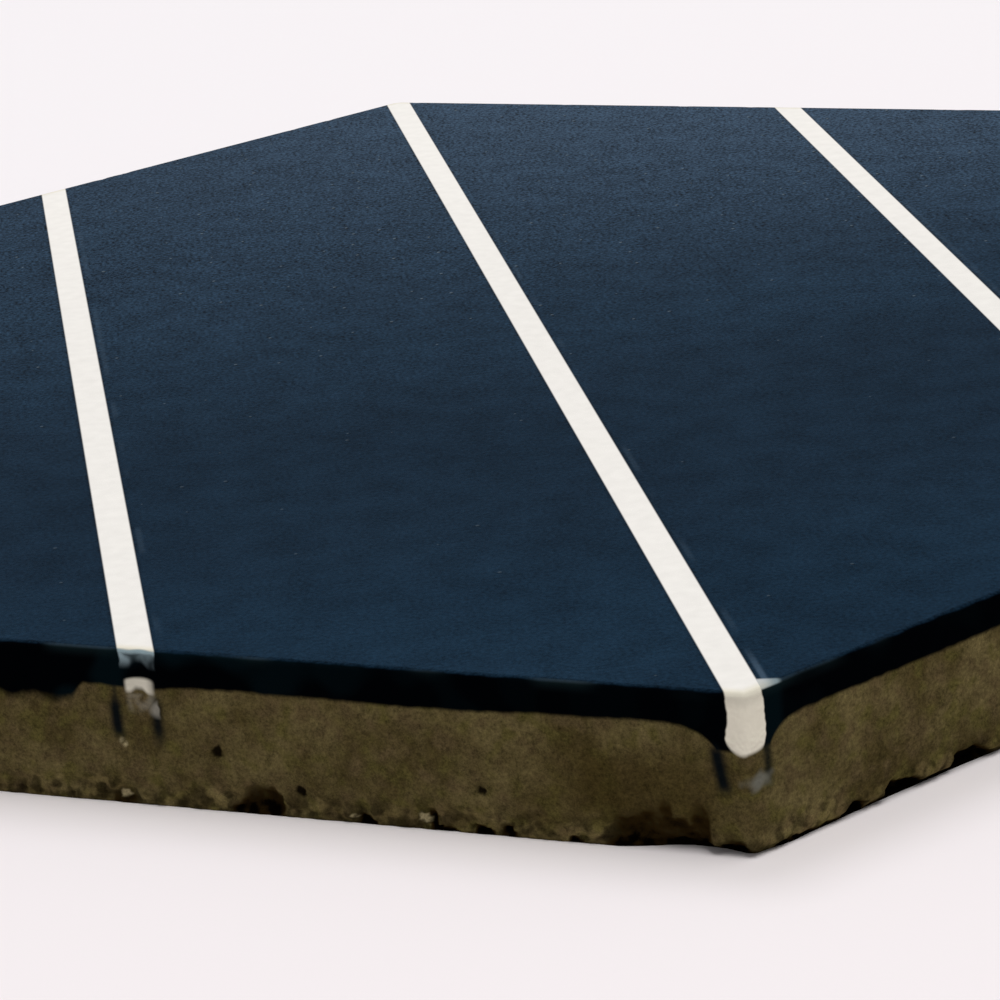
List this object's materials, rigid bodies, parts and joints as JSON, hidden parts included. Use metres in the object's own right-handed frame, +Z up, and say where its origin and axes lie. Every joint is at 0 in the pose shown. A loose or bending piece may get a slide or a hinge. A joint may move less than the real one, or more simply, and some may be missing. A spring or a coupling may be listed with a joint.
{
  "type": "hexagonal cement tile",
  "caption": "Hexagonal pressed cement floor tile: a flat navy pigmented face with inlaid pale stripes on a coarse mortar body, plumb sides, eased edges and a plain flat back.",
  "frame": {"origin": "centre of the flat back, which lies on the floor", "axes": "+Z up through the face, +Y through a corner of the hexagon, +X through the middle of a side"},
  "size_m": [0.2, 0.2304, 0.0155],
  "materials": {
    "pigmented_cement": "satin"
  },
  "bodies": {
    "root": {"cement_tile": "pigmented_cement"}
  },
  "joints": []
}
